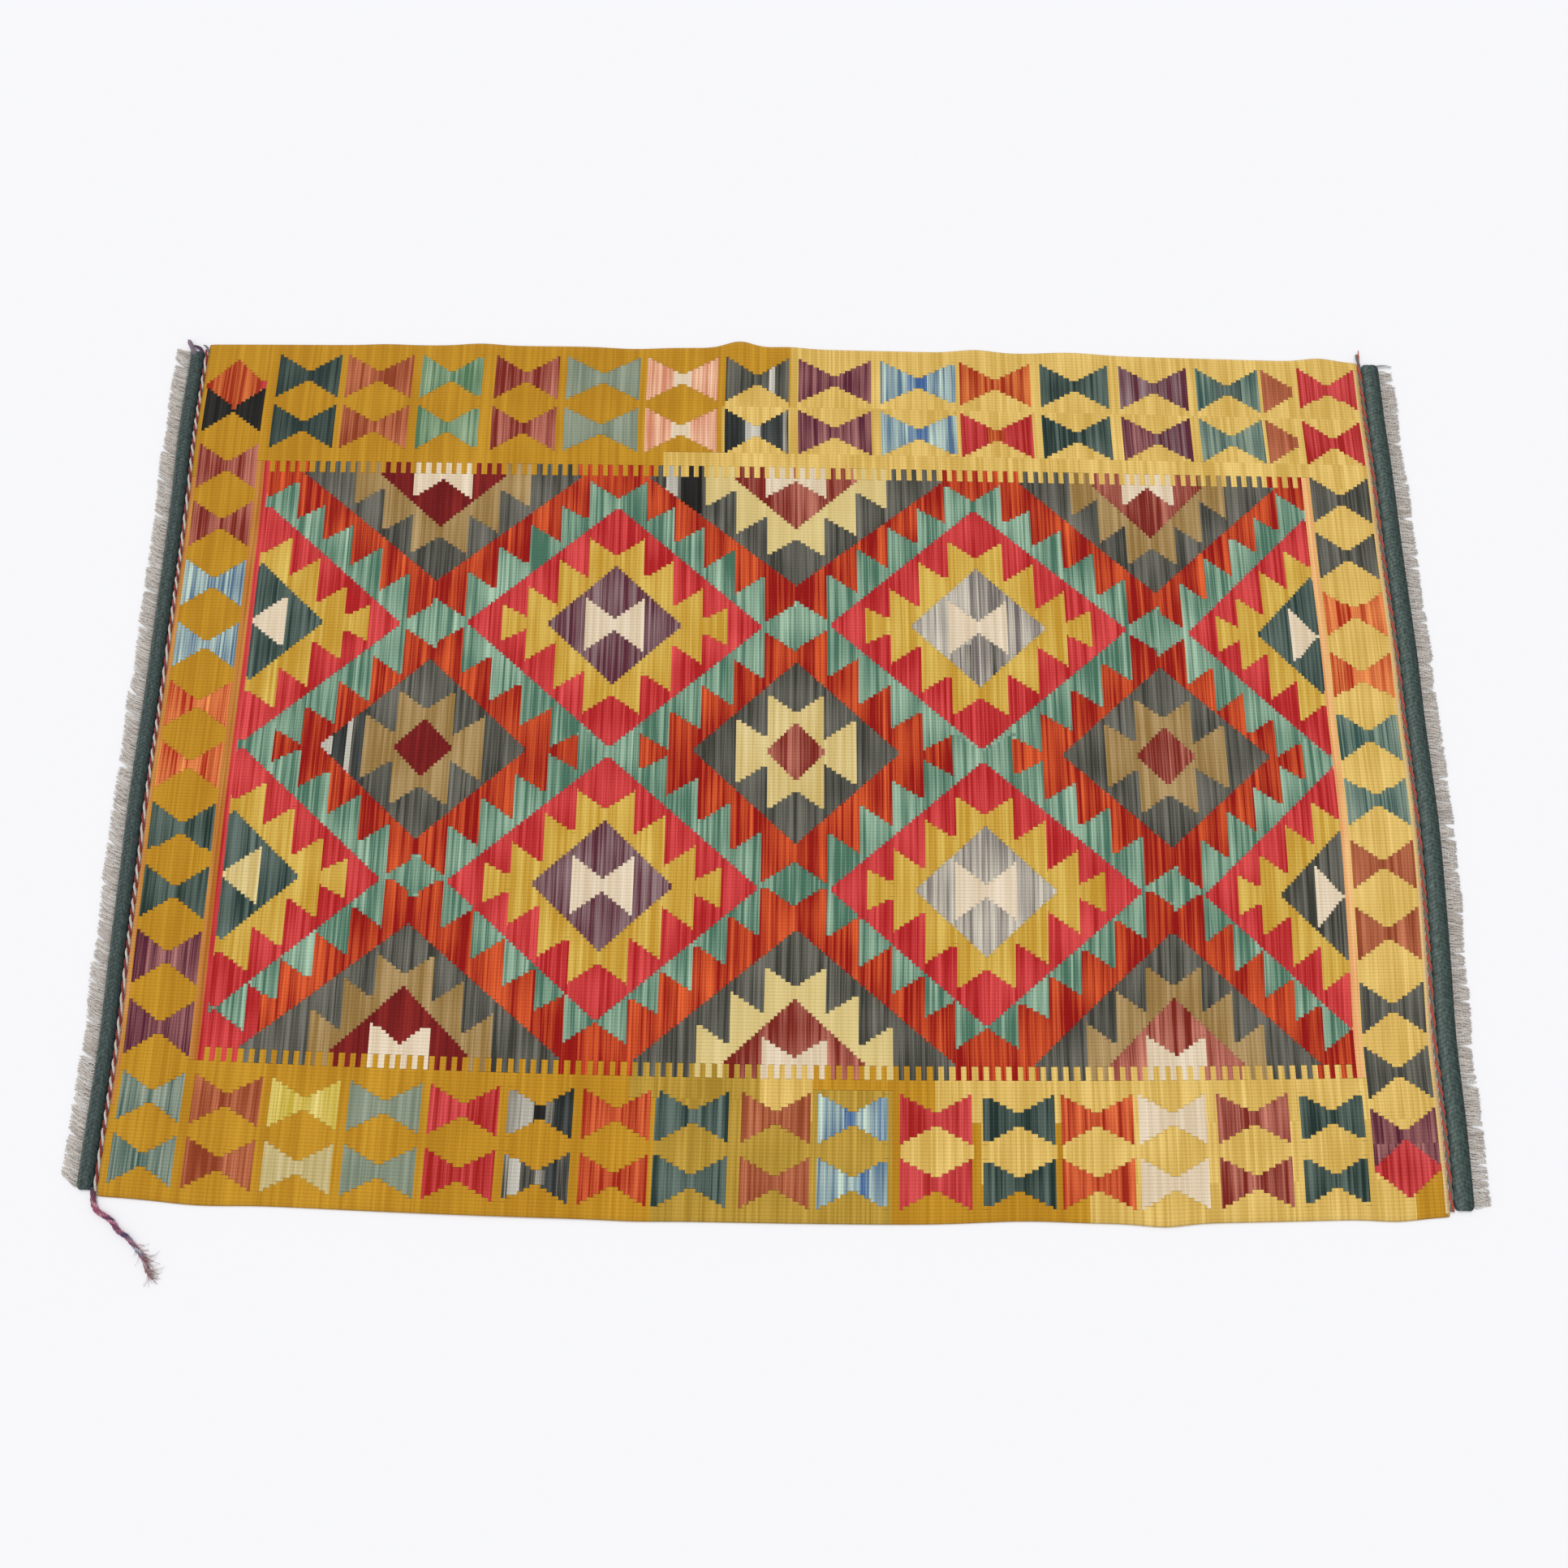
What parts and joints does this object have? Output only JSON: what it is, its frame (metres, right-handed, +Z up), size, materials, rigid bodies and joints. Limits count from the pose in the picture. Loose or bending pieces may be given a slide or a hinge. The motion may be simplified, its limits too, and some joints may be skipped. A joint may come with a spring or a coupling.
{
  "type": "kilim rug",
  "caption": "Flat-woven wool kilim rug with a diamond lattice field, hourglass border, ribbed end bands and cut warp fringes.",
  "frame": {"origin": "middle of the rug's underside, on the floor", "axes": "+X along the warps, the rug's length, towards the right-hand fringe; +Y across the rug; +Z up"},
  "size_m": [1.5613, 1.127, 0.005],
  "materials": {
    "tapestry_wool": "matte weft-faced wool tapestry in ochre, red, green, charcoal and cream",
    "twined_wool": "matte two-ply wool yarn",
    "band_wool": "matte ribbed wool",
    "warp_yarn": "matte spun warp ends",
    "tail_yarn": "matte plaited wool yarn"
  },
  "bodies": {
    "root": {"kilim_body": "tapestry_wool", "twined_line_left": "twined_wool", "twined_line_right": "twined_wool", "end_band_left": "band_wool", "end_band_right": "band_wool", "fringe_left": "warp_yarn", "fringe_right": "warp_yarn", "corner_tail": "tail_yarn"}
  },
  "joints": []
}
